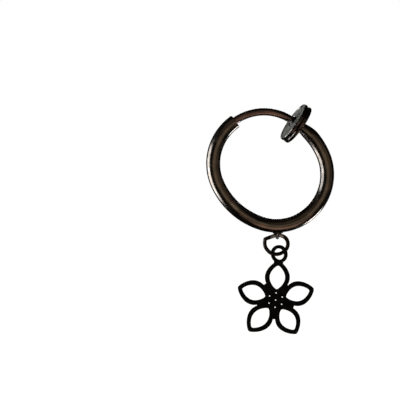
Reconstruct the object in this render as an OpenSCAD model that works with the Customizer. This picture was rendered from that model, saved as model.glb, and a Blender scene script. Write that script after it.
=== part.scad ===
// Clip-on earring: a sprung hoop that pinches the ear lobe between two round pads,
// with a pierced five-petal flower hanging from it on a jump ring.
// The hoop stands in the XZ plane, seen from -Y. The origin lies between the two pads,
// where the lobe is held. Millimetres, +Z up.

/* [Hoop tube] */
// Outer diameter of the tube
tube_d = 1.5; // [1.4:0.05:1.8]
// Radius of the two rounded ends, to the middle of the tube
end_r = 5.4; // [4.6:0.1:7]
// How much larger the radius of the two flatter sides is
side_ease = 2.6; // [1.6:0.1:6]
// Distance between the centres of the two rounded ends
stretch = 2.1; // [0.6:0.1:3]
// Direction of the long axis, from level round to the end that takes the arm
long_axis = 138; // [125:1:150]
// Sweep from the long axis to the open mouth of the tube
mouth_turn = 14; // [5:1:30]

/* [Sprung arm] */
// Diameter of the arm's wire
arm_d = 0.8; // [0.6:0.05:0.9]
// Clearance round the arm inside the tube
slide_gap = 0.15; // [0.12:0.01:0.18]
// How far the arm runs outside the middle of the bore
arm_ride = 0.06; // [0:0.01:0.1]
// Sweep from the long axis to the clamp
clamp_turn = 88; // [82:1:98]
// Sweep of the arm that stays inside the tube when the clamp is shut
arm_hidden = 22; // [12:1:30]

/* [Clamp pads] */
// Diameter of a pad
pad_d = 4.5; // [3.5:0.1:5.5]
// Thickness of a pad
pad_t = 0.43; // [0.35:0.01:0.6]
// Width of the raised rim on a pad's outer face
pad_rim = 0.3; // [0.2:0.05:0.6]
// Depth of the shallow dish inside that rim
pad_dish = 0.06; // [0.03:0.01:0.12]
// Gap left between the pads when the clamp is shut
pad_gap = 0.04; // [0.03:0.01:0.3]
// How far the pads lean from square to the arm
pad_lean = 5; // [0:1:12]
// Diameter of the tube's tapered neck where it meets its pad
neck_d = 1; // [0.7:0.05:1.1]
// Length of the tapered neck
neck_l = 1.8; // [0.8:0.1:2]
// Diameter of the solder collar round a joint on a pad
collar_d = 1.3; // [1.2:0.05:1.6]
// Height of the solder collar
collar_h = 0.28; // [0.15:0.01:0.4]

/* [Eyelet] */
// Wire of the eyelet under the hoop
eye_wire = 0.26; // [0.25:0.01:0.36]
// Inner diameter of the eyelet
eye_hole = 0.7; // [0.66:0.01:0.8]
// Clearance between the jump ring's wire and the eyelet below it
eye_gap = 0.07; // [0.06:0.01:0.12]
// Clearance between the jump ring's wire and the tube above it
hang_gap = 0.08; // [0.08:0.01:0.16]
// Length of each solder lump that holds a foot of the eyelet
solder_l = 0.95; // [0.6:0.05:1.2]
// Diameter of a solder lump
solder_d = 0.36; // [0.3:0.01:0.42]

/* [Jump ring] */
// Wire of the jump ring
ring_wire = 0.42; // [0.36:0.01:0.46]
// Radius of the ring's left and right ends, to the middle of the wire
ring_end_r = 0.93; // [0.88:0.01:1.1]
// How much larger the radius of its top and bottom is
ring_ease = 0.69; // [0.5:0.01:1]
// Distance between the centres of its two ends
ring_stretch = 0.72; // [0.5:0.01:0.9]
// Turn of the ring away from the plane of the hoop
ring_turn = 16; // [5:1:20]
// Width of the slit where the wire's two ends meet
slit_w = 0.06; // [0.04:0.01:0.1]
// Direction of the slit, round from level on the right
slit_at = 148; // [130:1:160]

/* [Flower charm] */
// Thickness of the pierced plate
charm_t = 0.33; // [0.3:0.01:0.36]
// Number of petals
petals = 5; // [4:1:6]
// Radius at which the petal openings start
petal_from = 1.2; // [1.15:0.05:1.4]
// Radius at which the petal openings end
petal_to = 3.8; // [3.2:0.05:4.5]
// Width of a petal opening
petal_w = 1.66; // [1.3:0.02:1.8]
// Turn of the petals at the left and right from their even places
side_turn = 3.5; // [-6:0.5:6]
// How much longer the petal at the lower left is
long_petal = 0.2; // [0:0.05:0.4]
// Fullness of a petal, lower is rounder
petal_power = 0.7; // [0.55:0.01:0.9]
// Width of the metal round an opening
stroke = 0.52; // [0.4:0.01:0.6]
// Diameter of the web that joins the petals
web_d = 4.2; // [3.6:0.1:4.8]
// Diameter of the pierced dots in the middle
dot_d = 0.25; // [0.15:0.01:0.3]
// Distance from the middle to the ring of six dots
dot_r = 0.79; // [0.6:0.01:0.85]
// Turn of the flower away from the plane of the hoop
charm_turn = -12; // [-20:1:5]
// Lean of the flower in its own plane, clockwise is negative
charm_lean = -4; // [-10:1:10]

/* [Charm loop] */
// Diameter of the hole in the loop
loop_hole = 1.22; // [1.2:0.02:1.5]
// Width of the metal round the hole
loop_stroke = 0.37; // [0.3:0.01:0.5]
// Metal between the loop's hole and the top petal's opening
loop_neck = 0.66; // [0.5:0.01:0.9]
// Width of the neck under the loop
neck_w = 0.95; // [0.7:0.05:1.2]
// Clearance between the ring's wire and the top of the loop's hole
loop_gap = 0.38; // [0.2:0.01:0.4]
// Angle at which the plane of the loop crosses the plane of the ring
cross_turn = 53; // [50:1:80]
// How far to the right of the ring's lowest point the loop hangs
loop_slide = 0.25; // [0:0.01:0.35]

/* [Hidden] */
$fn = 96;

METAL = "dimgray";
BLACK = "black";
PLANE_Y = 90;          // turns what is drawn in XY upright into the XZ plane
DOTS = 6;              // dots round the middle one
OUTLINE_STEPS = 14;    // points along one side of a petal
LUMP_STEPS = 8;        // points along a lump of solder
LUMP_OUT = 0.06;       // how far the middle of a lump stands out of the tube
PAD_EDGE = 0.12;       // rounding of a pad's edge
SINK = 0.1;            // how deep soldered pieces run into each other
TRIM = 0.01;           // how far each bend of a wire stops short of the next
PROUD = 0.004;         // how far the band that joins two bends stands proud of them
FAR = 20;              // longer than any piece, for cuts

function polar(r, a) = [r * cos(a), r * sin(a)];

// A four-centred oval with its long axis on X is given as [end radius, ease, stretch]
HOOP = [end_r, side_ease, stretch];
RING = [ring_end_r, ring_ease, ring_stretch];
function end_sweep(o) = acos(o[2] / 2 / o[1]);
function side_radius(o) = o[0] + o[1];
function side_offset(o) = o[1] * sin(end_sweep(o));
function half_height(o) = side_radius(o) - side_offset(o);

// The hoop, placed so that the middle of the arm's wire passes through the origin
tube_r = tube_d / 2;
bore_r = arm_d / 2 + slide_gap;
wall = tube_r - bore_r;
arm_r = end_r + arm_ride;
clamp_at = long_axis - clamp_turn;
mouth_at = long_axis - mouth_turn;
arm_centre = -polar(arm_r, clamp_at);
hoop_centre = arm_centre - polar(stretch / 2, long_axis);
foot_centre = arm_centre - polar(stretch, long_axis);
near_side = hoop_centre - polar(side_offset(HOOP), long_axis - 90);
far_side = hoop_centre + polar(side_offset(HOOP), long_axis - 90);
bevel = wall / 2;

// The pads face each other along the line of the wire, less their lean
pad_facing = clamp_at - 90 + pad_lean;
pad_back = pad_gap / 2 + pad_t;

// The tube's neck runs up the near side and ends at the back of its pad
neck_end = polar(pad_back, pad_facing);
neck_stop = atan2(neck_end[1] - near_side[1], neck_end[0] - near_side[0]);
neck_sweep = neck_l / side_radius(HOOP) * 180 / PI;
neck_from = neck_stop - neck_sweep;
neck_start = near_side + polar(side_radius(HOOP), neck_from);

// The eyelet hangs at the lowest point of the hoop and holds the ring's top wire
hoop_foot = foot_centre - [0, end_r];
ring_top = hoop_foot[1] - tube_r - hang_gap - ring_wire / 2;
eye_wire_z = ring_top - ring_wire / 2 - eye_gap - eye_wire / 2;
eye_mid_r = (eye_hole + eye_wire) / 2;
eye_mid_z = eye_wire_z + eye_mid_r;

// The feet of the eyelet enter the tube this far out and down from the middle of the tube
eye_drop = hoop_foot[1] - eye_mid_z;
foot_down = (pow(eye_drop, 2) + pow(tube_r, 2) - pow(eye_mid_r, 2)) / 2 / eye_drop;
foot_out = sqrt(pow(tube_r, 2) - pow(foot_down, 2));
lump_at = [foot_out, foot_down] * (1 + LUMP_OUT / tube_r);
ring_mid = [hoop_foot[0], 0, ring_top - half_height(RING)];

// The loop of the charm hangs on the ring's lower wire
slide_rise = side_radius(RING) - sqrt(pow(side_radius(RING), 2) - pow(loop_slide, 2));
wire_under_loop = [
    ring_mid[0] + loop_slide * cos(ring_turn),
    loop_slide * sin(ring_turn),
    ring_mid[2] - half_height(RING) + slide_rise
];
loop_r = loop_hole / 2;
loop_mid = wire_under_loop - [0, 0, loop_r - loop_gap - ring_wire / 2];
loop_up = petal_to + loop_neck + loop_r;
loop_turn = ring_turn - cross_turn;

// Moves a flat drawing in XY upright, so that its Y becomes Z
module upright() {
    rotate([PLANE_Y, 0, 0]) children();
}

// Round wire of diameter d, bent from one direction to the next about a centre
module bend(centre, r, from, to, d) {
    trim = TRIM / r * 180 / PI;
    translate(centre)
        rotate([0, 0, from + trim])
            rotate_extrude(angle = to - from - 2 * trim)
                translate([r, 0]) circle(d = d);
}

// The thin band that joins two bends of a wire of diameter d
module seam(centre, r, a, d) {
    facing(centre + polar(r, a), a + 90)
        cylinder(h = 4 * TRIM, r = d / 2 + PROUD, center = true);
}

// The ball at the end of a wire of diameter d
module ball_end(centre, r, a, d) {
    facing(centre + polar(r, a), a + 90) sphere(r = d / 2 + PROUD);
}

// A straight taper between two points of the drawing plane
module taper(p, rp, q, rq) {
    translate(p)
        rotate([0, 90, atan2(q[1] - p[1], q[0] - p[0])])
            cylinder(h = norm(q - p), r1 = rp, r2 = rq);
}

// Turns a piece drawn along +Z to a direction in the drawing plane
module facing(at, direction) {
    translate(at) rotate([0, 90, direction]) children();
}

// The run of the hoop's tube from its mouth down, round and up to the neck.
// The bore's cut starts past the mouth, so that it leaves the mouth open.
module hoop_run(d, past = 0) {
    join = end_sweep(HOOP);
    bend(arm_centre, end_r, mouth_at - past / end_r * 180 / PI, long_axis + join, d);
    seam(arm_centre, end_r, long_axis + join, d);
    bend(far_side, side_radius(HOOP), long_axis + join, long_axis + 180 - join, d);
    seam(foot_centre, end_r, long_axis + 180 - join, d);
    bend(foot_centre, end_r, long_axis + 180 - join, long_axis + 180 + join, d);
    seam(foot_centre, end_r, long_axis + 180 + join, d);
    bend(near_side, side_radius(HOOP), long_axis - 180 + join, neck_from, d);
}

// Cuts the sharp outer edge off the mouth of the tube
module mouth_bevel() {
    facing(arm_centre + polar(end_r, mouth_at), mouth_at - 90)
        rotate_extrude()
            polygon([[tube_r - bevel, SINK], [tube_r - bevel, 0],
                [tube_r + SINK, -bevel - SINK], [tube_r + SINK, SINK]]);
}

// The tube's closed end, drawn in to a thin neck
module neck() {
    ball_end(near_side, side_radius(HOOP), neck_from, tube_d);
    taper(neck_start, tube_r, neck_end, neck_d / 2);
}

// One pad, flat face down at Z 0, with a dished outer face
module pad() {
    r = pad_d / 2;
    difference() {
        rotate_extrude() {
            square([r - PAD_EDGE, pad_t]);
            translate([0, PAD_EDGE]) square([r, pad_t - 2 * PAD_EDGE]);
            translate([r - PAD_EDGE, PAD_EDGE]) circle(r = PAD_EDGE);
            translate([r - PAD_EDGE, pad_t - PAD_EDGE]) circle(r = PAD_EDGE);
        }
        translate([0, 0, pad_t - pad_dish]) cylinder(h = pad_t, r = r - pad_rim);
    }
}

// A pad with the solder collar that joins it to a wire of diameter d
module soldered_pad(d) {
    pad();
    translate([0, 0, pad_t - pad_dish - SINK])
        cylinder(h = collar_h + SINK, d1 = collar_d, d2 = d);
}

// A lump of solder along X, thick in the middle and drawn out at each end
module solder_lump() {
    rotate([0, 90, 0])
        rotate_extrude()
            polygon([for (i = [0:LUMP_STEPS])
                [solder_d / 2 * sin(180 * i / LUMP_STEPS), -solder_l / 2 * cos(180 * i / LUMP_STEPS)]]);
}

// The eyelet across the tube, with a lump of solder over each foot
module eyelet() {
    translate([hoop_foot[0], 0, eye_mid_z])
        rotate([0, 90, 0])
            rotate_extrude() translate([eye_mid_r, 0]) circle(d = eye_wire);
    for (side = [-1, 1])
        translate([hoop_foot[0], side * lump_at[0], hoop_foot[1] - lump_at[1]]) solder_lump();
}

module hoop_tube() {
    color(METAL)
        difference() {
            union() {
                upright() {
                    hoop_run(tube_d);
                    neck();
                    facing(polar(pad_gap / 2, pad_facing), pad_facing) soldered_pad(neck_d);
                }
                eyelet();
            }
            upright() {
                hoop_run(2 * bore_r, past = SINK);
                mouth_bevel();
            }
        }
}

module clip_arm() {
    root = clamp_at + (pad_gap / 2 + SINK) / arm_r * 180 / PI;
    tail = mouth_at + arm_hidden;
    color(METAL) upright() {
        bend(arm_centre, arm_r, root, tail, arm_d);
        ball_end(arm_centre, arm_r, tail, arm_d);
        facing(polar(pad_gap / 2, pad_facing + 180), pad_facing + 180) soldered_pad(arm_d);
    }
}

// The oval ring, long axis on X, with its slit
module oval_ring() {
    join = end_sweep(RING);
    difference() {
        for (side = [0, 180]) rotate([0, 0, side]) {
            bend([ring_stretch / 2, 0], ring_end_r, -join, join, ring_wire);
            seam([ring_stretch / 2, 0], ring_end_r, join, ring_wire);
            bend([0, -side_offset(RING)], side_radius(RING), join, 180 - join, ring_wire);
            seam([-ring_stretch / 2, 0], ring_end_r, 180 - join, ring_wire);
        }
        rotate([0, 0, slit_at])
            translate([FAR / 2, 0, 0]) cube([FAR, slit_w, 2 * ring_wire], center = true);
    }
}

module jump_ring() {
    color(METAL)
        translate(ring_mid) rotate([0, 0, ring_turn]) upright() oval_ring();
}

// Half the width of a petal outline at a share u of its length
function petal_half(u, w) = w / 2 * pow(sin(180 * u), petal_power);

// A petal along +Y, from one radius to another
module petal(from, to, w) {
    shares = [for (i = [1:OUTLINE_STEPS - 1]) (1 - cos(180 * i / OUTLINE_STEPS)) / 2];
    right = [for (u = shares) [petal_half(u, w), from + u * (to - from)]];
    left = [for (i = [len(right) - 1:-1:0]) [-right[i][0], right[i][1]]];
    polygon(concat([[0, from]], right, [[0, to]], left));
}

// All the petals, counted round from the top one by the left, widened by a border
module petal_ring(border) {
    for (i = [0:petals - 1]) {
        uneven = (i == 1 || i == petals - 1) ? side_turn : 0;
        extra = (i == 2) ? long_petal : 0;
        rotate(i * 360 / petals + uneven)
            petal(petal_from - border, petal_to + extra + border, petal_w + 2 * border);
    }
}

module flower_outline() {
    difference() {
        union() {
            circle(d = web_d);
            petal_ring(stroke);
            translate([-neck_w / 2, petal_to]) square([neck_w, loop_neck - SINK]);
        }
        petal_ring(0);
        circle(d = dot_d);
        for (i = [0:DOTS - 1]) rotate(i * 360 / DOTS)
            translate([0, dot_r]) circle(d = dot_d);
    }
}

// The loop, turned on the charm's upright axis until it crosses the ring
module charm_loop() {
    translate([0, loop_up, 0])
        rotate([0, loop_turn - charm_turn, 0])
            linear_extrude(height = charm_t, center = true)
                difference() {
                    circle(r = loop_r + loop_stroke);
                    circle(r = loop_r);
                }
}

module flower_charm() {
    color(BLACK)
        translate(loop_mid)
            rotate([0, 0, charm_turn])
                upright()
                    rotate([0, 0, charm_lean])
                        translate([0, -loop_up, 0]) {
                            linear_extrude(height = charm_t, center = true) flower_outline();
                            charm_loop();
                        }
}

hoop_tube();
clip_arm();
jump_ring();
flower_charm();
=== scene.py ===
# %% [markdown]
# # A clip-on hoop earring with a pierced flower
#
# The real earring has four pieces that move against each other: a hollow hoop, a sprung wire
# that slides in it and clamps the ear lobe between two pads, an oval jump ring, and a flat cast
# flower. They arrive here as plain solids, already in place. Each is modelled again over its
# solid, with the rounded lips, solder and cast edges that a maker leaves, and given its metal.
# Blender works in metres. Sizes are written here in millimetres, and multiplied by MM.

# %% The solids that everything is fitted to
import math

import bmesh
import bpy
from mathutils import Matrix, Vector


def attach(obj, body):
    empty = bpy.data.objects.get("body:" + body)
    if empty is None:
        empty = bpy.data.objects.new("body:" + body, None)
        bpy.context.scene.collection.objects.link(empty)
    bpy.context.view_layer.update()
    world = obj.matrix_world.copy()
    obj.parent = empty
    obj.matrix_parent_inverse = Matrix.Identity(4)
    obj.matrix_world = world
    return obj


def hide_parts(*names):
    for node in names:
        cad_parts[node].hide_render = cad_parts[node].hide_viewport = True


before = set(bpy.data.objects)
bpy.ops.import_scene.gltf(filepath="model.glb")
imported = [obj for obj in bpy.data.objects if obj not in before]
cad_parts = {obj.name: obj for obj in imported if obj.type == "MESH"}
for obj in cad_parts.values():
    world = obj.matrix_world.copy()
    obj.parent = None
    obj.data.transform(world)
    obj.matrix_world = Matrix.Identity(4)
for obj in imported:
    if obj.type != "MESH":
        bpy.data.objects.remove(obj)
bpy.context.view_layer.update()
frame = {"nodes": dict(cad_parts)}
MM = 0.001
print("solids:", ", ".join(frame["nodes"]))

# %% [markdown]
# ## The camera
#
# The photograph looks almost level at the front of the hoop, from a little to its left and
# above. A near camera would widen what is close to it, so a long lens far away is used, which
# gives the same flat drawing. The camera is turned so that the earring stands right of the
# middle of the picture, as in the photograph.

# %% Camera
pixel = 0.107 * MM                       # real size of one pixel of the 400 pixel picture
frame_px, sensor = 400, 36               # the picture's width, and the camera's own in mm
origin_px, middle_px = (295.3, 123.0), (274.5, 219.5)    # the clamp, and the earring's middle
camera_far = 160 * MM


def towards(azimuth, elevation):
    """The way from the earring to an azimuth and an elevation, in degrees."""
    a, e = math.radians(azimuth), math.radians(elevation)
    return Vector((math.sin(a) * math.cos(e), -math.cos(a) * math.cos(e), math.sin(e)))


back = towards(-10, 8)
right = Vector((0, 0, 1)).cross(back).normalized()
up = back.cross(right)


def across(px):
    """A step in the plane of the picture, from pixels right and down."""
    return (right * px[0] - up * px[1]) * pixel


middle = across((middle_px[0] - origin_px[0], middle_px[1] - origin_px[1]))
eye = middle + back * camera_far
aim = middle - across((middle_px[0] - frame_px / 2, middle_px[1] - frame_px / 2))
camera = bpy.data.objects.new("camera", bpy.data.cameras.new("camera"))
bpy.context.scene.collection.objects.link(camera)
camera.data.sensor_width = sensor
camera.data.lens = sensor * (aim - eye).length / (frame_px * pixel)
camera.matrix_world = (Matrix.Translation(eye)
                       @ (aim - eye).to_track_quat("-Z", "Y").to_matrix().to_4x4())
bpy.context.scene.camera = camera
print("lens:", round(camera.data.lens), "mm")

# %% [markdown]
# ## Starting a piece
#
# Every piece starts as a primitive and is shaped in edit mode, as by hand. A mesh could be
# written point by point instead, but nobody could then follow how its shape came about. The
# helper here opens a piece at its size and place.

# %% Start
COUNTS = ("vertices", "segments", "ring_count", "major_segments", "minor_segments")


def polar(r, a):
    """A step of r millimetres in the plane of the hoop, at a degrees from level."""
    return Vector((r * math.cos(math.radians(a)), 0, r * math.sin(math.radians(a))))


def settle():
    """Puts the place and the turn of the active piece into its mesh."""
    bpy.ops.object.transform_apply(location=True, rotation=True, scale=True)


def start(name, primitive, place=(0, 0, 0), turn=(0, 0, 0), **sizes):
    """Adds a primitive, sizes and places in millimetres, and opens it in edit mode."""
    if bpy.context.mode != "OBJECT":
        bpy.ops.object.mode_set(mode="OBJECT")
    bpy.ops.object.select_all(action="DESELECT")
    sizes = {k: v if k in COUNTS else v * MM for k, v in sizes.items()}
    primitive(location=Vector(place) * MM, rotation=[math.radians(t) for t in turn], **sizes)
    piece = bpy.context.object
    piece.name = piece.data.name = name
    settle()
    bpy.ops.object.mode_set(mode="EDIT")
    return piece


print("sizes that are counts:", ", ".join(COUNTS))

# %% [markdown]
# ## Picking points
#
# By hand, the points to be moved are clicked or boxed. A script has no mouse, so it picks them
# by a test of where they are, and edges by a test of their two points.

# %% Pick
HAIR = 0.001                             # mm, how far off a point may be and still be picked


def pick(test):
    """Selects the points whose place in millimetres passes a test, and counts them."""
    bpy.ops.mesh.select_mode(type="VERT")
    bpy.ops.mesh.select_all(action="DESELECT")
    mesh = bmesh.from_edit_mesh(bpy.context.edit_object.data)
    for v in mesh.verts:
        v.select = test(v.co / MM)
    mesh.select_flush(True)
    bmesh.update_edit_mesh(bpy.context.edit_object.data)
    return sum(v.select for v in mesh.verts)


def pick_level_edges(test):
    """Selects the level edges between points that pass a test."""
    bpy.ops.mesh.select_mode(type="EDGE")
    bpy.ops.mesh.select_all(action="DESELECT")
    mesh = bmesh.from_edit_mesh(bpy.context.edit_object.data)
    for e in mesh.edges:
        level = abs(e.verts[0].co.z - e.verts[1].co.z) < HAIR * MM
        e.select = level and all(test(v.co / MM) for v in e.verts)
    bmesh.update_edit_mesh(bpy.context.edit_object.data)


print("points are picked to within", HAIR, "mm")

# %% [markdown]
# ## Carrying a loop
#
# Wire and tube are the same all along, so one loop of points is carried on: extruded by a step
# and resized, or spun round a centre, as a bender turns a tube round its former. A curve with
# a bevel would be quicker, but it can't narrow to a neck or turn over a lip. With no window
# open, resizing needs its centre to be given each time.

# %% Carry, bend and lathe
def carry(step, scale, centre):
    """Extrudes the picked loop by a step and resizes it round its new centre."""
    bpy.ops.mesh.extrude_region_move(TRANSFORM_OT_translate={"value": Vector(step) * MM})
    bpy.ops.transform.resize(value=(scale,) * 3, center_override=Vector(centre) * MM)


def bend(centre, sweep, step=2.0):
    """Carries the picked loop round a centre, in steps of so many degrees."""
    bpy.ops.mesh.spin(steps=max(2, round(abs(sweep) / step)), angle=math.radians(sweep),
                      center=Vector(centre) * MM, axis=(0, 1, 0))


def lathe(at, facing, profile):
    """Carries the picked loop along a facing, through (height, radius) pairs."""
    for (h0, r0), (h1, r1) in zip(profile, profile[1:]):
        carry(polar(h1 - h0, facing), r1 / r0, at + polar(h1, facing))


def across_wire(direction):
    """The turn that lays a circle square to a direction in the plane of the hoop."""
    return (0, 90 - direction, 0)


print("a circle across a level wire is turned by", across_wire(0))

# %% [markdown]
# ## Finishing a piece
#
# Spinning and mirroring can leave doubled points and faces that look inwards, so every piece
# is closed in the same way: doubles merged, faces turned outwards, and shading smooth except
# where a real edge is sharper than an angle. Then the piece is told which body it moves with
# and which plain solid it stands for.

# %% Close and belong
merge_within = 0.0005 * MM


def close(angle=35):
    """Leaves edit mode with clean outward faces, smooth up to an angle."""
    bpy.ops.mesh.select_all(action="SELECT")
    bpy.ops.mesh.remove_doubles(threshold=merge_within)
    bpy.ops.mesh.normals_make_consistent(inside=False)
    bpy.ops.object.mode_set(mode="OBJECT")
    bpy.ops.object.shade_smooth_by_angle(angle=math.radians(angle))
    piece = bpy.context.object
    print(piece.name, len(piece.data.polygons), "faces")
    return piece


def belongs(piece, body, slot, material, *nodes):
    """Gives a piece its metal, its moving body and the solid that it stands for."""
    piece.data.materials.clear()
    piece.data.materials.append(material)
    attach(piece, body)
    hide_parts(*nodes)


print("points merge within", merge_within / MM, "mm")

# %% [markdown]
# ## Short words for shader nodes
#
# The finishes are made with nodes, and a script that sets each socket by itself is long and
# hard to read. The first helpers give a node its settings and join it to what feeds it.

# %% Nodes and links
def node(tree, kind, links=(), **settings):
    """Adds a node, sets its properties and sockets, and links what feeds it."""
    made = tree.nodes.new(kind)
    for key, value in settings.items():
        if key in made.inputs:
            made.inputs[key].default_value = value
        else:
            setattr(made, key, value)
    for socket, source in dict(links).items():
        tree.links.new(source, made.inputs[socket])
    return made


def feed(tree, socket, value):
    """Gives a socket a plain value, or links the socket that is given to it."""
    if isinstance(value, bpy.types.NodeSocket):
        tree.links.new(value, socket)
    else:
        socket.default_value = value


def sum_of(tree, operation, *values, **settings):
    """A maths node on plain numbers or sockets."""
    made = node(tree, "ShaderNodeMath", operation=operation, **settings)
    for i, value in enumerate(values):
        feed(tree, made.inputs[i], value)
    return made.outputs[0]


print("helpers:", ", ".join(helper.__name__ for helper in (node, feed, sum_of)))

# %% [markdown]
# The next ones are the few things that every finish here is put together from: a soft step, a
# spotty pattern, a colour between two others, and the place on the piece. Patterns are drawn
# by the object's own coordinates, so they move with the piece.

# %% Patterns and colours
MIX_A, MIX_B, MIX_RESULT = 6, 7, 2       # the colour sockets of a Mix node


def ramp(tree, source, low, high):
    """A soft step from 0 at low to 1 at high."""
    return node(tree, "ShaderNodeMapRange", {"Value": source}, interpolation_type="SMOOTHSTEP",
                **{"From Min": low, "From Max": high}).outputs["Result"]


def spots(tree, where, size, **settings):
    """A spotty pattern over a place; a larger size number gives finer spots."""
    made = node(tree, "ShaderNodeTexNoise", {"Vector": where}, **settings)
    feed(tree, made.inputs["Scale"], size)
    return made.outputs["Fac"]


def between(tree, share, first, second):
    """A colour between two, which are plain colours or sockets."""
    made = node(tree, "ShaderNodeMix", {"Factor": share}, data_type="RGBA")
    for socket, colour in ((MIX_A, first), (MIX_B, second)):
        feed(tree, made.inputs[socket], (*colour, 1) if isinstance(colour, tuple) else colour)
    return made.outputs[MIX_RESULT]


def on_piece(tree):
    """The place on the piece, which a pattern is drawn by."""
    return node(tree, "ShaderNodeTexCoord").outputs["Object"]


print("helpers:", ", ".join(helper.__name__ for helper in (ramp, spots, between, on_piece)))

# %% [markdown]
# ## Clouds of tone
#
# Plated gunmetal is a dark, slightly brown mirror, and plating is never even: it has faint
# clouds of warmer and cooler tone. Noise gives such clouds, and a soft step spreads them from
# full to none. Every finish here uses them at its own size, so they are a node group with that
# size as its input.

# %% Tone clouds
def group(name, inputs):
    """A shader group that takes numbers and puts out a mask, and the sockets at its two ends."""
    tree = bpy.data.node_groups.new(name, "ShaderNodeTree")
    for n, value in inputs.items():
        socket = tree.interface.new_socket(n, in_out="INPUT", socket_type="NodeSocketFloat")
        socket.default_value = value
    tree.interface.new_socket("Mask", in_out="OUTPUT", socket_type="NodeSocketFloat")
    return (tree, tree.nodes.new("NodeGroupInput").outputs,
            tree.nodes.new("NodeGroupOutput").inputs)


clouds, given, out = group("tone clouds", {"Size": 900.0})
clouds.links.new(ramp(clouds, spots(clouds, on_piece(clouds), given["Size"], Detail=4.0),
                      0.35, 0.68), out["Mask"])
print("made:", clouds.name)

# %% [markdown]
# ## Hair scratches
#
# Handling leaves hair scratches that run in a few directions and break off. An image of
# scratches would repeat, so they are worked out: noise that is stretched along one way has
# long thin level lines, and only what lies close to its middle value is kept. Two such sets
# cross each other, and a second noise breaks them into short strokes.

# %% Hair scratches
hairs, given, out = group("hair scratches", {"Size": 2600.0, "Share": 0.02})
place = on_piece(hairs)
slow = 0.03                              # how slowly the noise changes along a scratch
streaks = []
for turn, stretch in (((0.3, 0.9, 0.2), (1, slow, slow)), ((1.2, 0.1, 0.8), (slow, slow, 1))):
    turned = node(hairs, "ShaderNodeMapping", {"Vector": place}, Rotation=turn, Scale=stretch)
    noise = spots(hairs, turned.outputs["Vector"], given["Size"], Detail=1.0)
    off = sum_of(hairs, "ABSOLUTE", sum_of(hairs, "SUBTRACT", noise, 0.5))
    line = sum_of(hairs, "DIVIDE", off, given["Share"])
    streaks.append(sum_of(hairs, "SUBTRACT", 0.5, line, use_clamp=True))
both = sum_of(hairs, "MAXIMUM", *streaks)
strokes = ramp(hairs, spots(hairs, place, 1500.0), 0.48, 0.58)
hairs.links.new(sum_of(hairs, "MULTIPLY", both, strokes), out["Mask"])
print("made:", hairs.name, "with", len(streaks), "ways")

# %% [markdown]
# ## Rubbed edges
#
# Edges that stand proud are rubbed bright by skin and cloth. Pointiness says how sharply the
# surface stands out at a point, and multiplied by noise it wears through unevenly, which a
# plain bevel mask wouldn't.

# %% Rubbed edges
rubbed, given, out = group("rubbed edges", {"From": 0.53, "To": 0.62})
shape = node(rubbed, "ShaderNodeNewGeometry")
edge = node(rubbed, "ShaderNodeMapRange", {"Value": shape.outputs["Pointiness"],
                                           "From Min": given["From"], "From Max": given["To"]})
uneven = spots(rubbed, on_piece(rubbed), 3000.0)
rubbed.links.new(sum_of(rubbed, "MULTIPLY", edge.outputs["Result"], uneven), out["Mask"])
print("groups:", [g.name for g in bpy.data.node_groups])

# %% [markdown]
# ## Plated metal
#
# One recipe serves all the plated metals, because they differ only in tone and polish: two
# tones mixed by clouds, a brighter tone on rubbed edges, and hair scratches that roughen the
# surface and dent it a little. Where one piece hangs on another, the brighter tone can also be
# laid round one place as a painted highlight, standing in for a lamp that isn't there.

# %% Recipe for plating
cloud_roughness = 0.06
scratch_depth = 0.004 * MM
highlight_outside, highlight_inside = 0.95 * MM, 0.5 * MM     # how far the painted highlight round a given place reaches


def plated(name, deep, warm, bright, polish, cloud_size=900.0, scratch=0.35, dent=0.25, rub=0.5,
           painted_highlight_at=None):
    """A plated metal: its deep, warm and rubbed tones, and its roughness.

    A place in millimetres may be given, round which the bright tone is laid as a painted
    highlight."""
    made = bpy.data.materials.new(name)
    made.use_nodes = True
    tree = made.node_tree
    shader = tree.nodes["Principled BSDF"]
    shader.inputs["Metallic"].default_value = 1.0
    shader.inputs["IOR"].default_value = 1.5
    cloud = node(tree, "ShaderNodeGroup", node_tree=clouds)
    cloud.inputs["Size"].default_value = cloud_size
    cloud = cloud.outputs["Mask"]
    lines = node(tree, "ShaderNodeGroup", node_tree=hairs).outputs["Mask"]
    edges = node(tree, "ShaderNodeGroup", node_tree=rubbed).outputs["Mask"]
    wear_and_highlight = sum_of(tree, "MULTIPLY", edges, rub)
    # Round a given place, a painted highlight: the bright tone, fading out with distance.
    if painted_highlight_at:
        away = node(tree, "ShaderNodeVectorMath", {0: on_piece(tree)}, operation="DISTANCE")
        away.inputs[1].default_value = Vector(painted_highlight_at) * MM
        wear_and_highlight = sum_of(tree, "MAXIMUM", wear_and_highlight,
                      ramp(tree, away.outputs["Value"], highlight_outside, highlight_inside))
    tone = between(tree, wear_and_highlight, between(tree, cloud, deep, warm), bright)
    tree.links.new(tone, shader.inputs["Base Color"])
    rough = node(tree, "ShaderNodeMapRange", {"Value": lines},
                 **{"To Min": polish, "To Max": polish + scratch})
    mottled = sum_of(tree, "MULTIPLY_ADD", cloud, cloud_roughness, rough.outputs["Result"])
    tree.links.new(mottled, shader.inputs["Roughness"])
    bump = node(tree, "ShaderNodeBump", {"Height": lines}, invert=True, Strength=dent,
                Distance=scratch_depth)
    tree.links.new(bump.outputs["Normal"], shader.inputs["Normal"])
    return made


print("scratches are", scratch_depth / MM, "mm deep")
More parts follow.
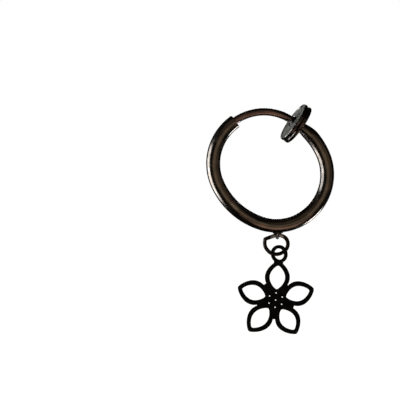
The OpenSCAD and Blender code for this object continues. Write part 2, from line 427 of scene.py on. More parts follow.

# %% [markdown]
# ## The metals of the hoop
#
# The hoop, its arm and its pads were bought as parts and plated in different baths, so their
# tones differ a little: the arm is the reddest and the pads' rims are the darkest. The face of
# each pad was left satin, which needs a pale tone and a high roughness. Solder is nearly black.
# The tones are set against the photograph, under the lights at the end of this file.

# %% Metals
hoop_gunmetal = plated("hoop_gunmetal", (0.076, 0.071, 0.065), (0.126, 0.11, 0.097),
                       (0.32, 0.29, 0.27), 0.18, dent=0.1)
arm_gunmetal = plated("arm_gunmetal", (0.09, 0.067, 0.066), (0.153, 0.113, 0.112),
                      (0.36, 0.32, 0.32), 0.16)
pad_rim_metal = plated("pad_rim_metal", (0.036, 0.032, 0.031), (0.076, 0.067, 0.065),
                       (0.36, 0.34, 0.35), 0.18)
pad_face_satin = plated("pad_face_satin", (0.31, 0.324, 0.3), (0.43, 0.443, 0.41),
                        (0.5, 0.5, 0.48), 0.46, cloud_size=700.0, scratch=0.12, dent=0.03)
solder_dark = plated("solder_dark", (0.013, 0.012, 0.012), (0.032, 0.031, 0.031),
                     (0.27, 0.27, 0.3), 0.2, cloud_size=2500.0)
print("metals:", [m.name for m in bpy.data.materials])

# %% [markdown]
# ## The black of the flower
#
# The flower is cast in a soft grey metal and dipped in black lacquer, which is rubbed through
# in a few specks on its outer edges. Lacquer isn't a metal, so the metallic value itself
# follows the specks. The flat faces are kept free of specks: how squarely the surface looks
# out of the flower's plane says what is flat.

# %% Colour of the lacquer
charm_turn, charm_lean = -12, -4         # degrees that the flower is turned and leans
flower_black = bpy.data.materials.new("flower_black")
flower_black.use_nodes = True
tree = flower_black.node_tree
shader = tree.nodes["Principled BSDF"]
place = node(tree, "ShaderNodeTexCoord").outputs
cloud = node(tree, "ShaderNodeGroup", node_tree=clouds)
cloud.inputs["Size"].default_value = 1800.0
cloud = cloud.outputs["Mask"]
edges = node(tree, "ShaderNodeGroup", node_tree=rubbed).outputs["Mask"]
facing = node(tree, "ShaderNodeVectorMath", {0: place["Normal"]}, operation="DOT_PRODUCT")
facing.inputs[1].default_value = (math.sin(math.radians(-charm_turn)),
                                  math.cos(math.radians(charm_turn)), 0)
flat = sum_of(tree, "ABSOLUTE", facing.outputs["Value"])                # 1 on the flat faces
edge = sum_of(tree, "MULTIPLY", edges, ramp(tree, flat, 0.95, 0.8))
few = ramp(tree, spots(tree, place["Object"], 1400.0), 0.64, 0.68)     # the noise's peaks alone
speck = sum_of(tree, "MULTIPLY", edge, few)
black = between(tree, cloud, (0.0012, 0.0012, 0.0012), (0.003, 0.0029, 0.0028))
tree.links.new(between(tree, speck, black, (0.45, 0.43, 0.42)), shader.inputs["Base Color"])
tree.links.new(speck, shader.inputs["Metallic"])
print("nodes for its colour:", len(tree.nodes))

# %% [markdown]
# Dipped lacquer dries with a fine orange peel, which a bump of small noise gives, and it is
# glossier in some places than in others. In the photograph the black mirrors next to nothing,
# so its index of refraction is set close to that of air.

# %% Gloss of the lacquer
rough = node(tree, "ShaderNodeMapRange", {"Value": cloud}, **{"To Min": 0.22, "To Max": 0.32})
tree.links.new(rough.outputs["Result"], shader.inputs["Roughness"])
bump = node(tree, "ShaderNodeBump", {"Height": spots(tree, place["Object"], 6000.0)},
            Strength=0.35, Distance=0.012 * MM)
tree.links.new(bump.outputs["Normal"], shader.inputs["Normal"])
shader.inputs["IOR"].default_value = 1.03
print("nodes in all:", len(tree.nodes))

# %% [markdown]
# ## The line of the hoop
#
# The hoop isn't a true circle. It is an oval of four arcs, two tight ones at the ends and two
# flatter ones at the sides, and each arc runs into the next without a corner. A bender rolls
# it the same way, one radius after another. These are the centres of the arcs, worked out so
# that the arm's wire passes through the origin, where the ear lobe is held.

# %% Centres of the bends
tube_r, bore_r, wire_r = 0.75, 0.55, 0.4
end_r, side_r, arm_r = 5.4, 8.0, 5.46    # the bends of the oval's ends and sides, and the arm's
stretch, ease = 2.1, 2.6                 # between the centres of two ends, of an end and a side
long_axis, clamp_at, mouth_at = 138, 50, 124    # places on the hoop, in degrees from level
pad_facing = clamp_at - 85               # the pads stand 5 degrees off square to the wire
pad_outside = 0.45                       # from the clamp's middle to the outer face of a pad
neck_long, neck_draw, neck_slow = 1.8, 0.25, 1.6
join = math.degrees(math.acos(stretch / 2 / ease))
arm_centre = -polar(arm_r, clamp_at)
hoop_centre = arm_centre - polar(stretch / 2, long_axis)
foot_centre = arm_centre - polar(stretch, long_axis)
side_offset = ease * math.sin(math.radians(join))
near_side = hoop_centre - polar(side_offset, long_axis - 90)
far_side = hoop_centre + polar(side_offset, long_axis - 90)
neck_end = polar(pad_outside, pad_facing)
neck_from = (math.degrees(math.atan2(neck_end.z - near_side.z, neck_end.x - near_side.x))
             - math.degrees(neck_long / side_r))
print("arcs meet at", round(join, 1), "degrees; the neck starts at", round(neck_from, 1))

# %% [markdown]
# ## The hoop's tube
#
# The real tube is drawn hollow, bent, and left open at one end with a smooth lip, so that the
# arm slides in without catching. One circle is spun round the four centres in turn, which is
# what bending does.

# %% Tube
lip = 0.07
lip_at = mouth_at + math.degrees(lip / end_r)
mouth = arm_centre + polar(end_r, lip_at)
hoop_shell = start("hoop_shell", bpy.ops.mesh.primitive_circle_add, vertices=64, radius=tube_r,
                   place=mouth, turn=across_wire(lip_at + 90))
bends = [(arm_centre, long_axis + join - lip_at), (far_side, 180 - 2 * join),
         (foot_centre, 2 * join), (near_side, neck_from - (long_axis - 180 + join))]
for centre, sweep in bends:
    bend(centre, sweep)
print("bends, in degrees:", [round(sweep, 1) for centre, sweep in bends])

# %% [markdown]
# ## The neck
#
# The closed end is drawn in to a thin neck. A cone would show a corner where it starts, so the
# last loop is carried on along the same bend while it shrinks from 1.5 to 1 mm, slowly at
# first, as swaging draws a tube in.

# %% Neck
neck_stop = neck_from + math.degrees(neck_long / side_r)
centre, wide, steps = near_side + polar(side_r, neck_from), tube_r, 12
for i in range(1, steps + 1):
    share = i / steps
    reach = side_r + ((neck_end - near_side).length - side_r) * share
    onward = near_side + polar(reach, neck_from + (neck_stop - neck_from) * share)
    drawn = tube_r - neck_draw * share ** neck_slow
    carry(onward - centre, drawn / wide, onward)
    centre, wide = onward, drawn
bpy.ops.mesh.edge_face_add()
print("neck ends", round((centre - neck_end).length, 3), "mm from its pad")

# %% [markdown]
# ## The lip and the bore
#
# The first circle of the tube is still open. It is turned over the lip in a quarter circle,
# eased into the bore and spun down it through the same bends. A boolean would cut the bore
# too, but it would leave a sharp lip, and here the lip is what catches the light.

# %% Lip and bore
outward = polar(1, lip_at - 90)
picked = pick(lambda p: (p - mouth).length < tube_r + 10 * HAIR
              and abs((p - mouth).dot(outward)) < 4 * HAIR)
turned_in = [(lip * math.sin(math.radians(a)), tube_r - lip * (1 - math.cos(math.radians(a))))
             for a in (0, 22, 45, 67, 90)]
turned_in += [(lip, 0.6), (0.055, 0.567), (0.03, 0.553), (0, bore_r)]
lathe(mouth, lip_at - 90, turned_in)
for centre, sweep in bends:
    bend(centre, sweep, step=6)
bpy.ops.mesh.edge_face_add()
close()
belongs(hoop_shell, "hoop", "hoop_metal", hoop_gunmetal, "hoop_tube")
print("points on the mouth's loop:", picked)

# %% [markdown]
# ## The arm
#
# The arm is one hard wire, bent to the radius of the tube's first bend so that it can slide
# round inside it. It could be a curve, but its hidden tail is rounded off, which is easier on
# a mesh. It is spun in one go, from inside the solder on its pad back into the tube.

# %% Arm
root_at, tail_at = clamp_at + 1.25, mouth_at + 22    # the tail lies 22 degrees inside the tube
root, tail = arm_centre + polar(arm_r, root_at), arm_centre + polar(arm_r, tail_at)
arm_wire = start("arm_wire", bpy.ops.mesh.primitive_circle_add, vertices=48, radius=wire_r,
                 place=root, turn=across_wire(root_at + 90))
pick(lambda p: True)
bend(arm_centre, tail_at - root_at)
dome = [(wire_r * math.sin(math.radians(a)), wire_r * math.cos(math.radians(a)))
        for a in (0, 20, 40, 60, 78)]
lathe(tail, tail_at + 90, dome)
bpy.ops.mesh.edge_face_add()
pick(lambda p: (p - root).length < wire_r + 10 * HAIR)
bpy.ops.mesh.edge_face_add()
close()
belongs(arm_wire, "arm", "arm_metal", arm_gunmetal, "clip_arm")
print("the arm bends through", tail_at - root_at, "degrees")

# %% [markdown]
# ## The two pads
#
# Each pad is a coin of brass with a turned rim and a shallow satin dish, and a flat inner face
# that meets the ear. It could be turned from a drawn profile, but a disc is a good start: its
# outer face is inset and sunk for the dish, and then both its rims are bevelled.

# %% A coin with a dish
pad_r, pad_t, pad_gap, edge_r = 2.25, 0.43, 0.04, 0.12
rim, dish, dish_taper = 0.27, 0.055, 0.985
floor_step, floor_drop, floor_ring = 0.06, 0.004, 0.5


def coin(name):
    """One pad, lying on its flat face at the origin."""
    start(name, bpy.ops.mesh.primitive_cylinder_add, vertices=96, radius=pad_r, depth=pad_t,
          place=(0, 0, pad_t / 2))
    pick(lambda p: p.z > pad_t - HAIR)
    bpy.ops.mesh.inset(thickness=rim * MM)
    bpy.ops.mesh.extrude_region_move(TRANSFORM_OT_translate={"value": (0, 0, -dish * MM)})
    bpy.ops.transform.resize(value=(dish_taper, dish_taper, 1), center_override=(0, 0, 0))
    bpy.ops.mesh.inset(thickness=floor_step * MM, depth=-floor_drop * MM)
    bpy.ops.mesh.inset(thickness=floor_ring * MM)
    pick_level_edges(lambda p: p.xy.length > pad_r - HAIR)
    bpy.ops.mesh.bevel(offset=edge_r * MM, segments=5, affect="EDGES")
    return close(25)


print("a pad is", 2 * pad_r, "mm wide and", pad_t, "mm thick")

# %% [markdown]
# Each pad is stood up beside the middle of the clamp, the second facing the first, and its
# place is put into its mesh. The faces that look outwards inside the rounded edge get the
# satin finish, as a second material on the same piece, because it is one coin on the real
# earring too.

# %% Both pads
def pad(name, facing, body, slot, stands_for):
    """A coin with its flat face towards the clamp's middle, and its two finishes."""
    piece = coin(name)
    piece.rotation_euler = (0, math.radians(90 - facing), 0)
    piece.location = polar(pad_gap / 2, facing) * MM
    settle()
    belongs(piece, body, slot, pad_rim_metal, stands_for)
    piece.data.materials.append(pad_face_satin)
    normal = polar(1, facing)
    for face in piece.data.polygons:
        place = face.center / MM
        radial = (place - normal * place.dot(normal)).length
        face.material_index = int(face.normal.dot(normal) > 0.75 and radial < pad_r)
    return sum(face.material_index for face in piece.data.polygons)


satin = pad("fixed_pad", pad_facing, "hoop", "hoop_metal", "hoop_tube")
satin += pad("moving_pad", pad_facing + 180, "arm", "arm_metal", "clip_arm")
print("satin faces:", satin)

# %% [markdown]
# ## Solder on the pads
#
# A collar of solder holds each pad to its wire, and creeps up the wire in a soft fillet. It is
# made by carrying a loop along a listed profile. No drop of solder is a perfect turning,
# so its points are then pushed in and out by a slow wave.

# %% Collars of solder
lump = 0.006


def wave(p):
    """A slow, uneven wave over a place in metres, between -3 and 3."""
    return (math.sin(p.x / MM * 5.1 + 1) + math.sin(p.y / MM * 6.3)
            + math.sin(p.z / MM * 4.7))


def solder_collar(name, facing, wire, creep, body, slot, stands_for):
    """The fillet of solder between a pad and its wire; creep 1 climbs it further than 0."""
    face = polar(pad_gap / 2, facing)
    base = pad_t - 0.09
    profile = [(base, 0.6), (base + 0.04, 0.645), (base + 0.09, 0.61 + 0.03 * creep),
               (base + 0.15, max(wire + 0.06, 0.5 + 0.09 * creep)),
               (base + 0.21, wire + 0.04 + 0.08 * creep),
               (base + 0.27, wire + 0.02 + 0.04 * creep),
               (base + 0.32, wire + 0.015), (base + 0.36, wire - 0.02)]
    start(name, bpy.ops.mesh.primitive_circle_add, vertices=40, radius=profile[0][1],
          place=face + polar(base, facing), turn=across_wire(facing))
    lathe(face, facing, profile)
    bpy.ops.mesh.edge_face_add()
    pick(lambda p: abs((p - face).dot(polar(1, facing)) - base) < HAIR)
    bpy.ops.mesh.edge_face_add()
    piece = close(60)
    for v in piece.data.vertices:
        height = ((v.co / MM) - face).dot(polar(1, facing)) - base
        if 0.01 < height < 0.3:          # neither its foot nor its tip
            v.co += v.normal * wave(v.co) * lump * MM
    belongs(piece, body, slot, solder_dark, stands_for)


neck_r = tube_r - neck_draw
solder_collar("fixed_pad_solder", pad_facing, neck_r, 0, "hoop", "hoop_metal", "hoop_tube")
solder_collar("moving_pad_solder", pad_facing + 180, wire_r, 1, "arm", "arm_metal", "clip_arm")
print("solder is uneven by up to", round(3 * lump, 3), "mm")

# %% [markdown]
# ## A painted highlight where the ring hangs
#
# The jump ring hangs in the eyelet under the hoop, and the top of its wire there is painted
# pale as a highlight. A light that is aimed at it would brighten the hoop as well, so the
# highlight is painted into two metals of their own; on the eyelet it lightens the metal a
# little.

# %% Metals with a painted highlight
hoop_foot = foot_centre - Vector((0, 0, end_r))
ring_wire, eye_wire, eye_r = 0.42, 0.26, 0.48
room_above, room_below = 0.08, 0.07      # between the ring and the hoop, the ring and the eyelet
ring_top = hoop_foot.z - tube_r - room_above - ring_wire / 2
# The middle of the painted highlight, at the top of the ring.
highlight_centre = (hoop_foot.x - 0.1, 0, ring_top)
ring_gunmetal = plated("ring_gunmetal", (0.009, 0.008, 0.008), (0.022, 0.02, 0.02),
                       (0.5, 0.53, 0.57), 0.3, cloud_size=1500.0, rub=0.04, painted_highlight_at=highlight_centre)
eye_gunmetal = plated("eye_gunmetal", (0.013, 0.012, 0.012), (0.032, 0.031, 0.031),
                      (0.06, 0.06, 0.06), 0.3, cloud_size=2500.0, rub=0.2, painted_highlight_at=highlight_centre)
print("they rub at", [round(n, 2) for n in highlight_centre])

# %% [markdown]
# ## The eyelet
#
# The eyelet is a small ring of wire, standing across the hoop, with its top sunk in the tube
# and its solder. It could be spun like the ring, but it has no cut, so a torus will do. Its
# bar is flattened a little underneath, which shows as a small lump under the hoop.

# %% Eyelet
eye_mid = Vector((hoop_foot.x, 0,
                  ring_top - ring_wire / 2 - room_below - eye_wire / 2 + eye_r))
eyelet = start("eyelet", bpy.ops.mesh.primitive_torus_add, major_segments=64,
               minor_segments=24, major_radius=eye_r, minor_radius=eye_wire / 2,
               place=eye_mid, turn=(0, 90, 0))
bar_top = eye_mid - Vector((0, 0, eye_r - eye_wire / 2))
pick(lambda p: (p - eye_mid).length > eye_r and p.z < bar_top.z - 0.08)
bpy.ops.transform.resize(value=(0.94, 1, 0.6), center_override=bar_top * MM)
close(60)
belongs(eyelet, "hoop", "hoop_metal", eye_gunmetal, "hoop_tube")
print("the eyelet's bar is", round(hoop_foot.z - tube_r - bar_top.z, 2), "mm under the hoop")

# %% [markdown]
# ## The drops over the eyelet's feet
#
# Each foot of the eyelet is hidden by a drop of solder, which the iron has drawn out along the
# hoop. A sphere is stretched along the tube, and its ends are then slimmed in three steps, so
# that it runs out to a point as solder does. The feet are where the eyelet's circle crosses
# the tube's.

# %% Drops of solder
drop_r, drop_long, drop_wide = 0.18, 3.2, 1.08
drop = hoop_foot.z - eye_mid.z
foot_down = (drop ** 2 + tube_r ** 2 - eye_r ** 2) / 2 / drop
foot_out = math.sqrt(tube_r ** 2 - foot_down ** 2)
for side, name in ((-1, "front_drop"), (1, "rear_drop")):
    at = Vector((hoop_foot.x, side * foot_out * drop_wide, hoop_foot.z - foot_down * drop_wide))
    piece = start(name, bpy.ops.mesh.primitive_uv_sphere_add, segments=32, ring_count=20,
                  radius=drop_r, place=at, turn=(0, 90, 0))
    bpy.ops.transform.resize(value=(drop_long, drop_wide, drop_wide), center_override=at * MM)
    for reach, slim in ((0.2, 0.93), (0.34, 0.85), (0.46, 0.8)):
        pick(lambda p: abs(p.x - at.x) > reach)
        bpy.ops.transform.resize(value=(1, slim, slim), center_override=at * MM)
    close(80)
    belongs(piece, "hoop", "hoop_metal", solder_dark, "hoop_tube")
print("the eyelet's feet are", round(2 * foot_out, 2), "mm apart")

# %% [markdown]
# ## The jump ring
#
# A jump ring is a length of round wire, wound on an oval rod and sawn through. A torus has no
# saw cut, so a circle starts at one cut end and is spun round the oval's four arcs to the
# other. Each cut end is slimmed a little over its last step, where the burr was filed off.

# %% Oval with a cut
ring_end, ring_side, ring_half = 0.93, 1.62, 0.36
cut_at, cut_half, filed_long, filed = 136.2, 2.4, 0.02, 0.9
ring_join = math.degrees(math.acos(ring_half / (ring_side - ring_end)))
ring_off = (ring_side - ring_end) * math.sin(math.radians(ring_join))
left, right_end = Vector((-ring_half, 0, 0)), Vector((ring_half, 0, 0))
over, under = Vector((0, 0, ring_off)), Vector((0, 0, -ring_off))
first, last = cut_at + cut_half, cut_at - cut_half
first_cut, last_cut = left + polar(ring_end, first), left + polar(ring_end, last)
jump_wire = start("jump_wire", bpy.ops.mesh.primitive_circle_add, vertices=40,
                  radius=ring_wire / 2 * filed, place=first_cut - polar(filed_long, first + 90),
                  turn=across_wire(first + 90))
bpy.ops.mesh.edge_face_add()
pick(lambda p: True)
carry(polar(filed_long, first + 90), 1 / filed, first_cut)
for centre, sweep in ((left, 180 + ring_join - first), (over, 180 - 2 * ring_join),
                      (right_end, 2 * ring_join), (under, 180 - 2 * ring_join),
                      (left, last - (180 - ring_join))):
    bend(centre, sweep, step=5)
carry(polar(filed_long, last + 90), filed, last_cut + polar(filed_long, last + 90))
close()
print("the cut is", round(2 * cut_half * math.radians(ring_end), 2), "mm wide")

# %% [markdown]
# Pliers never close a ring quite true. Both ends are pushed out of line, most at the cut and
# less and less away from it. Both go to the left, the lower one towards the viewer and the
# upper one behind it, and each is squeezed a little thicker at its tip. The ring then goes to
# its place in the eyelet, a little turned.

# %% Ends out of line
ring_turn = 16
low_reach, top_reach = 80, 45            # degrees of the ring that each push fades over
for v in jump_wire.data.vertices:
    off = v.co / MM - left
    at = math.degrees(math.atan2(off.z, off.x)) % 360
    if off.length > 1.4 or off.x > ring_half:
        continue                         # the other bends of the oval stay
    low_end = max(0, 1 - (at - cut_at) / low_reach)
    top_end = max(0, 1 - (cut_at - at) / top_reach)
    if at >= cut_at:
        v.co += (polar(0.34, 190) * low_end - Vector((0, 0.06, 0)) * low_end ** 4) * MM
        v.co += polar(0.16, 130) * low_end ** 5 * MM
        v.co += v.normal * 0.02 * low_end ** 6 * MM
    elif top_end:
        v.co += (polar(0.4, 178) * top_end ** 1.5 + Vector((0, 0.06, 0)) * top_end ** 2) * MM
        v.co += v.normal * 0.05 * top_end ** 3 * MM
jump_wire.rotation_euler = (0, 0, math.radians(ring_turn))
jump_wire.location = Vector((hoop_foot.x, 0, ring_top - (ring_side - ring_off))) * MM
settle()
belongs(jump_wire, "ring", "ring_metal", ring_gunmetal, "jump_ring")
print("ring:", len(jump_wire.data.polygons), "faces")

# %% [markdown]
# ## The outlines of the flower
#
# The flower is one flat casting: five petals, each a leaf-shaped opening in a border of even
# width, and a loop to hang by. A petal's outline is written as a function, from its outer edge
# to its opening, so that the same line draws the border and cuts the plate. The petals stand
# not quite evenly round the middle, and one is longer, as the wax that was cast from was made
# by hand.

# %% Outlines
petal_from, petal_to, petal_w, border, fullness = 1.2, 3.8, 1.66, 0.52, 0.7
petal_turns = [72 * i + (3.5 if i in (1, 4) else 0) for i in range(5)]
long_petal, extra = 2, 0.2
loop_r, loop_border = 0.61, 0.37


def leaf(turn, share, longer=0):
    """A point of the petal's outline, share 0 at its outer edge and 1 at its opening."""
    grow = border * (1 - share)
    along, length = (1 - math.cos(turn)) / 2, petal_to + longer - petal_from + 2 * grow
    half = (petal_w / 2 + grow) * math.sin(math.pi * along) ** fullness if 0 < along < 1 else 0
    return math.copysign(half, math.sin(turn)), petal_from - grow + along * length


def long_leaf(turn, share):
    """The outline of the lower left petal, which is a little longer."""
    return leaf(turn, share, extra)


def loop_line(turn, share):
    """A point of the hanging loop's outline."""
    r = loop_r + loop_border * (1 - share)
    return r * math.sin(turn), -r * math.cos(turn)


print("a petal's opening is", round(leaf(math.pi, 1)[1] - leaf(0, 1)[1], 2), "mm long")

# %% [markdown]
# ## A border of rounded section
#
# Molten metal leaves softly rounded edges. A circle is bent to the outline and then carried
# across the border through a rounded section, from the outer edge over the crown to the
# opening. Mirroring it gives the back. A bevel modifier would round the edges too, but at the
# sharp ends of a petal it would fold over itself.

# %% Borders
section = [(0, 0.095), (0.035, 0.128), (0.1, 0.15), (0.22, 0.161), (0.5, 0.165),
           (0.78, 0.161), (0.9, 0.15), (0.965, 0.128), (1, 0.095), (1, 0)]
round_points = 72


def outline(shape, share, height):
    """Lays the picked points on an outline, by the turn that each one carries."""
    mesh = bmesh.from_edit_mesh(bpy.context.edit_object.data)
    turns = mesh.verts.layers.float.get("turn") or mesh.verts.layers.float.new("turn")
    for v in mesh.verts:
        if v.select:
            if share == 0 and height == 0:
                v[turns] = math.atan2(v.co.x, -v.co.y) % (2 * math.pi)
            x, y = shape(v[turns], share)
            v.co = Vector((x, y, height)) * MM
    bmesh.update_edit_mesh(bpy.context.edit_object.data)


def border_of(name, shape):
    """A closed border of rounded section between two outlines of a shape."""
    piece = start(name, bpy.ops.mesh.primitive_circle_add, vertices=round_points, radius=1)
    outline(shape, 0, 0)
    for share, height in section:
        bpy.ops.mesh.extrude_region_move()
        outline(shape, share, height)
    bpy.ops.object.mode_set(mode="OBJECT")
    mirror = piece.modifiers.new("back", "MIRROR")
    mirror.use_axis = (False, False, True)
    mirror.merge_threshold = HAIR * MM
    bpy.ops.object.modifier_apply(modifier="back")
    bpy.ops.object.mode_set(mode="EDIT")
    return close()


petal = border_of("petal", leaf)
longer_petal = border_of("longer_petal", long_leaf)
print("a border is", 2 * max(height for share, height in section), "mm thick")

# %% [markdown]
# ## The web between the petals
#
# A thin web of metal fills the middle and the gaps between the petals. It is a disc with
# bevelled rims, which each petal's outline cuts halfway over the border, so that the border
# can take the disc's place there. Booleans do it, because the shapes are exact.

# %% Web
web_r, web_t, web_edge = 2.1, 0.3, 0.06
halfway = 0.5


def joined(target, other, operation="UNION"):
    """Joins or cuts a piece by another with a boolean, and removes the other."""
    bpy.ops.object.select_all(action="DESELECT")
    bpy.context.view_layer.objects.active = target
    target.select_set(True)
    step = target.modifiers.new("step", "BOOLEAN")
    step.operation, step.object, step.solver = operation, other, "EXACT"
    bpy.ops.object.modifier_apply(modifier="step")
    bpy.data.objects.remove(other)


flower_plate = start("flower_plate", bpy.ops.mesh.primitive_cylinder_add, vertices=120,
                     radius=web_r, depth=web_t)
pick_level_edges(lambda p: True)
bpy.ops.mesh.bevel(offset=web_edge * MM, segments=3, affect="EDGES")
close()
for i, degrees in enumerate(petal_turns):
    cutter = start("opening", bpy.ops.mesh.primitive_circle_add, vertices=round_points, radius=1)
    outline(leaf, 0, 0)
    outline(long_leaf if i == long_petal else leaf, halfway, -web_t)
    bpy.ops.mesh.edge_face_add()
    bpy.ops.mesh.extrude_region_move(TRANSFORM_OT_translate={"value": (0, 0, 2 * web_t * MM)})
    cutter = close()
    cutter.data.transform(Matrix.Rotation(math.radians(degrees), 4, "Z"))
    joined(flower_plate, cutter, "DIFFERENCE")
print("web:", len(flower_plate.data.polygons), "faces")

# %% [markdown]
# ## The petals on the web
#
# The petal is modelled once and copied round the middle, and each copy is joined to the web.
# Only joined meshes get the small creases that a real casting has where two borders run
# together. Petals that only overlap would show a hard line there.

# %% Petals
def turned_copy(piece, degrees):
    """A copy with its own mesh, turned about the middle of the flower."""
    copy = piece.copy()
    copy.data = piece.data.copy()
    bpy.context.scene.collection.objects.link(copy)
    copy.data.transform(Matrix.Rotation(math.radians(degrees), 4, "Z"))
    return copy


for i, degrees in enumerate(petal_turns):
    joined(flower_plate, turned_copy(longer_petal if i == long_petal else petal, degrees))
for pattern in (petal, longer_petal):
    bpy.data.objects.remove(pattern)
print("web and petals:", len(flower_plate.data.polygons), "faces")

# %% [markdown]
# ## The seven dots
#
# Six small holes stand round a seventh in the middle, all with a countersunk edge that catches
# the light. They are cut last, after the petals are joined, so that nothing fills them again.
# The cutter is a pin whose two ends flare, because one pin then cuts the hole and both its
# countersinks.

# %% Dots
dot_r, dot_ring, pin_long = 0.078, 0.79, 0.5
sink_from, sink_flare, sink_long = 0.13, 1.5, 0.06
for i in range(7):
    at = (0, 0, 0) if i == 6 else (dot_ring * math.sin(math.radians(60 * i)),
                                   dot_ring * math.cos(math.radians(60 * i)), 0)
    start("dot", bpy.ops.mesh.primitive_cylinder_add, vertices=20, radius=dot_r, depth=pin_long,
          place=at)
    for side in (-1, 1):
        pick(lambda p: p.z * side > 0.2)
        bpy.ops.transform.translate(value=(0, 0, -side * sink_from * MM))
        bpy.ops.mesh.extrude_region_move(
            TRANSFORM_OT_translate={"value": (0, 0, side * sink_long * MM)})
        bpy.ops.transform.resize(value=(sink_flare, sink_flare, 1),
                                 center_override=Vector(at) * MM)
    joined(flower_plate, close(), "DIFFERENCE")
print("with its dots:", len(flower_plate.data.polygons), "faces")

# %% [markdown]
# ## The neck of the flower
#
# A short block of metal joins the upper petal to the loop, and twists from the plane of the
# flower towards that of the loop. It is a cube, given its size, whose upper face is turned and
# widened, and whose edges are rounded so that it melts into both.

# %% Neck of the flower
neck_at, neck_size, neck_twist = (0, 4.08, 0), (0.95, 0.56, 0.3), 18
neck_mid = Vector(neck_at) * MM
start("neck_block", bpy.ops.mesh.primitive_cube_add, size=1, place=neck_at)
bpy.ops.transform.resize(value=neck_size, center_override=neck_mid)
pick(lambda p: p.y > 4.2)
bpy.ops.transform.rotate(value=math.radians(neck_twist), orient_axis="Y",
                         center_override=neck_mid)
bpy.ops.transform.resize(value=(1.1, 1, 1), center_override=neck_mid)
bpy.ops.mesh.select_all(action="SELECT")
bpy.ops.mesh.bevel(offset=0.07 * MM, segments=3, affect="EDGES")
joined(flower_plate, close())
print("neck:", " x ".join(str(n) for n in neck_size), "mm")

# %% [markdown]
# ## The loop of the flower
#
# The ring has to pass through the loop, so the loop is cast turned against the plate. It has
# the same rounded section as the petals, so the same helper makes it from a round outline. It
# is joined last, and the whole casting is closed and smoothed once more.

# %% Loop
loop_turn, neck_room = -25, 0.66
loop_up = petal_to + neck_room + loop_r
loop = border_of("loop", loop_line)
loop.data.transform(Matrix.Translation((0, loop_up * MM, 0))
                    @ Matrix.Rotation(math.radians(loop_turn), 4, "Y"))
joined(flower_plate, loop)
bpy.ops.object.mode_set(mode="EDIT")
close(40)
print("the loop's middle is", round(loop_up, 2), "mm above the flower's")

# %% [markdown]
# ## Hanging the flower
#
# The flower was modelled lying flat with its middle at the origin. It is stood up, turned and
# leant as in the photograph, and moved so that its loop hangs on the lowest part of the ring,
# slipped a little to the right. The height of the wire there follows from the ring's arc.

# %% Flower in its place
slipped, loop_room = 0.25, 0.38          # along the ring, and from the loop's top to the wire
wire_low = (ring_top - 2 * (ring_side - ring_off) + ring_side
            - math.sqrt(ring_side ** 2 - slipped ** 2))
under_loop = Vector((hoop_foot.x + slipped * math.cos(math.radians(ring_turn)),
                     slipped * math.sin(math.radians(ring_turn)), wire_low))
loop_mid = under_loop - Vector((0, 0, loop_r - loop_room - ring_wire / 2))
flower_plate.matrix_world = (Matrix.Translation(loop_mid * MM)
                             @ Matrix.Rotation(math.radians(charm_turn), 4, "Z")
                             @ Matrix.Rotation(math.radians(90), 4, "X")
                             @ Matrix.Rotation(math.radians(charm_lean), 4, "Z")
                             @ Matrix.Translation((0, -loop_up * MM, 0)))
settle()
belongs(flower_plate, "charm", "charm_black", flower_black, "flower_charm")
print("flower:", len(flower_plate.data.polygons), "faces")

# %% [markdown]
# ## Light
#
# Gunmetal shows only what it mirrors, so the lights are drawn for their reflections. The long
# white lines on the hoop are a tall softbox on the left and a small one low on the right. The
# warm brown between them comes from four weak lights: below, in front, on the right and above.
# A narrow card behind gives the hoop's far edge its thin line. Points or a sun would show as
# dots on the metal.

# %% Softboxes
lit_at = Vector((-2, 0, -7)) * MM        # the middle of the earring, which every light looks at


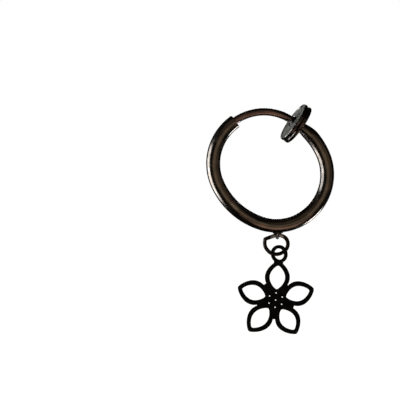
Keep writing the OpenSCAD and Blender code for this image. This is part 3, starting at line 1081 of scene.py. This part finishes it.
def softbox(name, azimuth, elevation, far, width, height, power, colour=(1, 1, 1)):
    """A soft light that looks at the earring, sizes in millimetres."""
    light = bpy.data.lights.new(name, "AREA")
    light.shape, light.size, light.size_y = "RECTANGLE", width * MM, height * MM
    light.energy, light.color = power, colour
    lamp = bpy.data.objects.new(name, light)
    bpy.context.scene.collection.objects.link(lamp)
    lamp.location = lit_at + towards(azimuth, elevation) * far * MM
    lamp.rotation_euler = towards(azimuth, elevation).to_track_quat("Z", "Y").to_euler()
    lamp.visible_camera = False


softbox("left_panel", -94, -14, 150, 118, 178, 0.66)
softbox("right_low", 111, -43, 65, 12, 20, 0.022)
softbox("warm_below", 14, -44, 66, 40, 42, 0.0083, (1, 0.617, 0.446))
softbox("front_olive", 4, -1, 220, 190, 120, 0.05, (1, 0.771, 0.533))
softbox("right_dim", 52, 4, 200, 180, 160, 0.0245, (1, 0.72, 0.49))
softbox("top_dim", -13, 40, 200, 210, 150, 0.021, (1, 0.74, 0.49))
softbox("back_card", 172, 8, 150, 44, 70, 0.04)

# %% [markdown]
# ## The white behind
#
# The photograph has no horizon: behind the earring everything is white. A white world would
# also be mirrored by the metal and wash it out, so the world is white only to the camera, and
# nearly black to everything else. The plain view transform keeps white white.

# %% World
world = bpy.data.worlds.new("studio")
bpy.context.scene.world = world
world.use_nodes = True
sky = world.node_tree
seen = node(sky, "ShaderNodeLightPath").outputs["Is Camera Ray"]
sky.links.new(between(sky, seen, (0.02, 0.018, 0.015), (1, 1, 1)),
              sky.nodes["Background"].inputs["Color"])
bpy.context.scene.view_settings.view_transform = "Standard"
print("world:", world.name)

# %% [markdown]
# ## The floor
#
# A pale floor lies well below the earring. The photograph has no shadow either, so the floor
# glows a little, which drowns any shadow, and the metal doesn't mirror it.

# %% Floor
floor = start("floor", bpy.ops.mesh.primitive_plane_add, size=600, place=(0, 0, -60))
bpy.ops.object.mode_set(mode="OBJECT")
pale = bpy.data.materials.new("pale_floor")
pale.use_nodes = True
paint = pale.node_tree.nodes["Principled BSDF"]
paint.inputs["Base Color"].default_value = (0.9, 0.9, 0.9, 1)
paint.inputs["Roughness"].default_value = 0.9
paint.inputs["Emission Color"].default_value = (1, 1, 1, 1)
paint.inputs["Emission Strength"].default_value = 1.0
floor.data.materials.append(pale)
floor.visible_glossy = False
print("floor:", [round(n / MM) for n in floor.dimensions[:2]], "mm")
